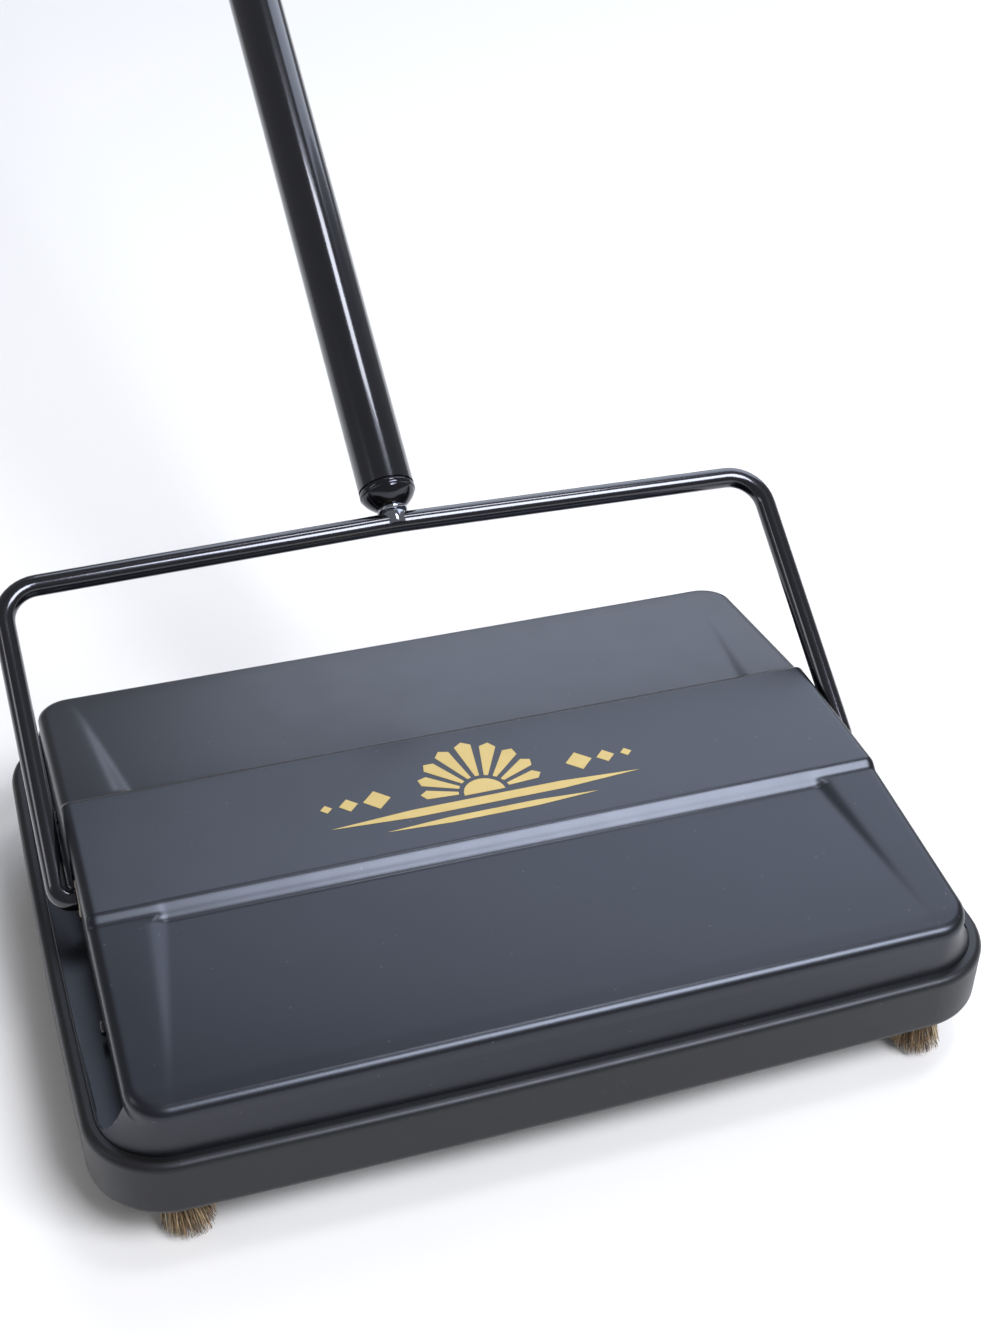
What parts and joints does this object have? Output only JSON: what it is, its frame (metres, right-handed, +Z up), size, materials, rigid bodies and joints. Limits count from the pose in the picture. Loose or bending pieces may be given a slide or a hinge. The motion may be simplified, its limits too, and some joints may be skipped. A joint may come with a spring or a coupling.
{
  "type": "carpet sweeper",
  "caption": "Push-along carpet sweeper with a pressed steel case, rubber bumper, wheel-driven roller brush, drop-down dust pans, corner bristle tufts and a tilting tube handle.",
  "frame": {"origin": "on the floor under the middle of the case", "axes": "+X across the case to its right side, +Y towards the rear where the handle leans, +Z up"},
  "size_m": [0.2752, 0.9893, 0.6222],
  "materials": {
    "cover_paint": "satin black stove enamel",
    "bumper_rubber": "moulded black rubber",
    "zinc_steel": "zinc-plated pressed steel",
    "turned_steel": "bright drawn steel",
    "chrome": "polished plating",
    "rod_paint": "gloss black enamel",
    "tube_paint": "gloss black enamel",
    "black_plastic": "moulded black",
    "grip_plastic": "moulded matt black",
    "nylon": "natural nylon",
    "hub_plastic": "moulded black",
    "tyre_rubber": "grey-black rubber",
    "core_wood": "turned beech",
    "bristle": "natural bristle",
    "tuft_bristle": "natural bristle"
  },
  "bodies": {
    "case": {"axle_clips": "zinc_steel", "bail_bush_left": "nylon", "bail_bush_right": "nylon", "brush_bearing_left": "nylon", "brush_bearing_right": "nylon", "corner_tuft_front_left": "tuft_bristle", "corner_tuft_front_right": "tuft_bristle", "corner_tuft_rear_left": "tuft_bristle", "corner_tuft_rear_right": "tuft_bristle", "cover_rivets": "turned_steel", "end_plate_left": "zinc_steel", "end_plate_right": "zinc_steel", "frame_rivets": "turned_steel", "front_hinge_rod": "turned_steel", "front_pan_spring": "turned_steel", "front_rail": "zinc_steel", "furniture_bumper": "bumper_rubber", "rear_hinge_rod": "turned_steel", "rear_pan_spring": "turned_steel", "rear_rail": "zinc_steel", "top_cover": "cover_paint", "tuft_socket_front_left": "zinc_steel", "tuft_socket_front_right": "zinc_steel", "tuft_socket_rear_left": "zinc_steel", "tuft_socket_rear_right": "zinc_steel", "wheel_axles": "turned_steel"},
    "brush": {"brush_shaft": "turned_steel", "brush_core": "core_wood", "bristle_row_1": "bristle", "bristle_row_2": "bristle", "bristle_row_3": "bristle", "bristle_row_4": "bristle", "drive_pulley_left": "hub_plastic", "drive_pulley_right": "hub_plastic"},
    "front_pan_assembly": {"front_pan": "zinc_steel", "front_pan_tab": "zinc_steel"},
    "rear_pan_assembly": {"rear_pan": "zinc_steel", "rear_pan_tab": "zinc_steel"},
    "handle": {"bail": "rod_paint", "bail_clips": "zinc_steel", "bail_stud": "chrome", "stud_ring": "chrome", "handle_plug": "black_plastic", "lower_tube": "tube_paint", "middle_tube": "tube_paint", "upper_tube": "tube_paint", "handle_grip": "grip_plastic"},
    "wheel_front_left": {"wheel_hub_front_left": "hub_plastic", "wheel_tyre_front_left": "tyre_rubber"},
    "wheel_front_right": {"wheel_hub_front_right": "hub_plastic", "wheel_tyre_front_right": "tyre_rubber"},
    "wheel_rear_left": {"wheel_hub_rear_left": "hub_plastic", "wheel_tyre_rear_left": "tyre_rubber"},
    "wheel_rear_right": {"wheel_hub_rear_right": "hub_plastic", "wheel_tyre_rear_right": "tyre_rubber"}
  },
  "joints": [
    {"name": "bail_tilt", "type": "hinge", "parent": "case", "child": "handle", "pos_m": [0, 0, 0.046], "axis": [-1, 0, 0], "range_deg": [-142.3, 27.7]},
    {"name": "brush_spin", "type": "hinge", "parent": "case", "child": "brush", "pos_m": [0, 0, 0.0275], "axis": [1, 0, 0], "continuous": true},
    {"name": "wheel_spin_front_left", "type": "hinge", "parent": "case", "child": "wheel_front_left", "pos_m": [0, -0.0307, 0.0192], "axis": [1, 0, 0], "continuous": true},
    {"name": "wheel_spin_front_right", "type": "hinge", "parent": "case", "child": "wheel_front_right", "pos_m": [0, -0.0307, 0.0192], "axis": [1, 0, 0], "continuous": true},
    {"name": "wheel_spin_rear_left", "type": "hinge", "parent": "case", "child": "wheel_rear_left", "pos_m": [0, 0.0307, 0.0192], "axis": [1, 0, 0], "continuous": true},
    {"name": "wheel_spin_rear_right", "type": "hinge", "parent": "case", "child": "wheel_rear_right", "pos_m": [0, 0.0307, 0.0192], "axis": [1, 0, 0], "continuous": true},
    {"name": "front_pan_tilt", "type": "hinge", "parent": "case", "child": "front_pan_assembly", "pos_m": [0, -0.091, 0.014], "axis": [-1, 0, 0], "range_deg": [0, 75], "stiffness_Nm_per_rad": 0.06, "springref_deg": -57.3},
    {"name": "rear_pan_tilt", "type": "hinge", "parent": "case", "child": "rear_pan_assembly", "pos_m": [0, 0.091, 0.014], "axis": [1, 0, 0], "range_deg": [0, 75], "stiffness_Nm_per_rad": 0.06, "springref_deg": -57.3}
  ],
  "couplings": [
    {"joint": "wheel_spin_front_left", "follows": "brush_spin", "ratio": -0.6579},
    {"joint": "wheel_spin_front_right", "follows": "brush_spin", "ratio": -0.6579},
    {"joint": "wheel_spin_rear_left", "follows": "brush_spin", "ratio": -0.6579},
    {"joint": "wheel_spin_rear_right", "follows": "brush_spin", "ratio": -0.6579}
  ]
}
